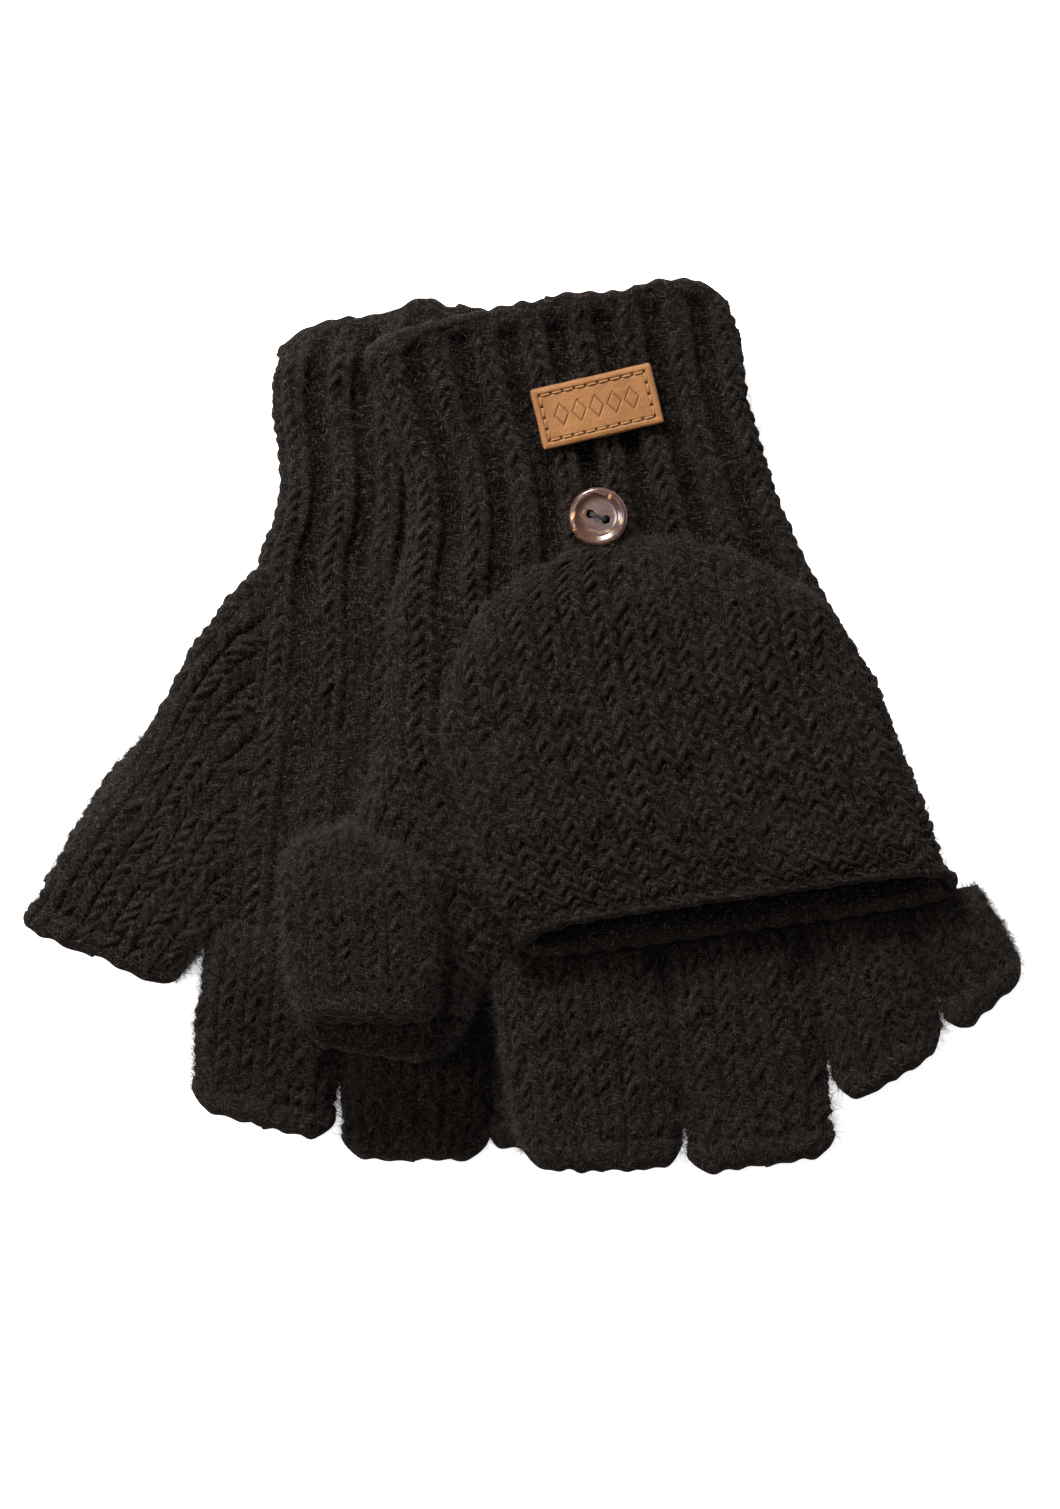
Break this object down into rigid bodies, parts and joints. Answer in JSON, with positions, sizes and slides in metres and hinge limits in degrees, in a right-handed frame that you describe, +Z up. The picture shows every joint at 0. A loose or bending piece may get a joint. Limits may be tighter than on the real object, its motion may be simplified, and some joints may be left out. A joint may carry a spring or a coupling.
{
  "type": "pair of convertible flip-top mittens",
  "caption": "Pair of knitted half-finger mittens with flip caps over the fingers and thumb, folded back and looped on a cuff button, lying one on the other.",
  "frame": {"origin": "centre of the pair's outline, on the surface it lies on", "axes": "+X across the pair, from the right mitten's thumb to the left mitten's little finger; +Y from the fingertips to the cuffs; +Z up"},
  "size_m": [0.2512, 0.2212, 0.0425],
  "materials": {
    "knit_wool": "chunky stockinette knit in charcoal wool",
    "rib_wool": "chunky rib knit in charcoal wool",
    "coconut": "polished coconut shell",
    "leather": "smooth tan leather",
    "tan_thread": "waxed stitching thread",
    "black_thread": "black sewing thread"
  },
  "bodies": {
    "right_glove": {"right_cuff": "rib_wool", "right_hand": "knit_wool", "right_thumb": "knit_wool", "right_index_finger": "knit_wool", "right_middle_finger": "knit_wool", "right_ring_finger": "knit_wool", "right_little_finger": "knit_wool", "right_button": "coconut", "right_button_thread": "black_thread", "right_label": "leather", "right_label_stitching": "tan_thread"},
    "right_cap": {"right_cap_back": "knit_wool", "right_cap_palm": "knit_wool", "right_cap_loop": "knit_wool"},
    "right_thumb_cap": {"right_thumb_cap_back": "knit_wool", "right_thumb_cap_palm": "knit_wool"},
    "left_glove": {"left_cuff": "rib_wool", "left_hand": "knit_wool", "left_thumb": "knit_wool", "left_index_finger": "knit_wool", "left_middle_finger": "knit_wool", "left_ring_finger": "knit_wool", "left_little_finger": "knit_wool", "left_button": "coconut", "left_button_thread": "black_thread", "left_label": "leather", "left_label_stitching": "tan_thread"},
    "left_cap": {"left_cap_back": "knit_wool", "left_cap_palm": "knit_wool", "left_cap_loop": "knit_wool"},
    "left_thumb_cap": {"left_thumb_cap_back": "knit_wool", "left_thumb_cap_palm": "knit_wool"}
  },
  "joints": [
    {"name": "left_lift", "type": "slide", "parent": "right_glove", "child": "left_glove", "axis": [0, 0, 1], "range_m": [0, 0.1]},
    {"name": "left_cap_fold", "type": "hinge", "parent": "left_glove", "child": "left_cap", "pos_m": [0.05295, -0.051, 0.02341], "axis": [0.9812, 0.1343, -0.1384], "range_deg": [0, 180], "deforming": ["left_index_finger", "left_middle_finger", "left_ring_finger", "left_little_finger", "left_cap_loop"]},
    {"name": "left_thumb_cap_fold", "type": "hinge", "parent": "left_glove", "child": "left_thumb_cap", "pos_m": [-0.03905, -0.07215, 0.03087], "axis": [0.9996, -0.0297, -0.0018], "range_deg": [0, 180], "deforming": ["left_thumb"]},
    {"name": "right_cap_fold", "type": "hinge", "parent": "right_glove", "child": "right_cap", "pos_m": [-0.01805, -0.0511, 0.0067], "axis": [-0.9994, -0.0316, 0.015], "range_deg": [0, 180], "deforming": ["right_index_finger", "right_middle_finger", "right_ring_finger", "right_little_finger", "right_cap_loop"]},
    {"name": "right_thumb_cap_fold", "type": "hinge", "parent": "right_glove", "child": "right_thumb_cap", "pos_m": [-0.10205, -0.04695, 0.0076], "axis": [-0.9435, 0.3314, 0], "range_deg": [0, 180], "deforming": ["right_thumb"]}
  ]
}
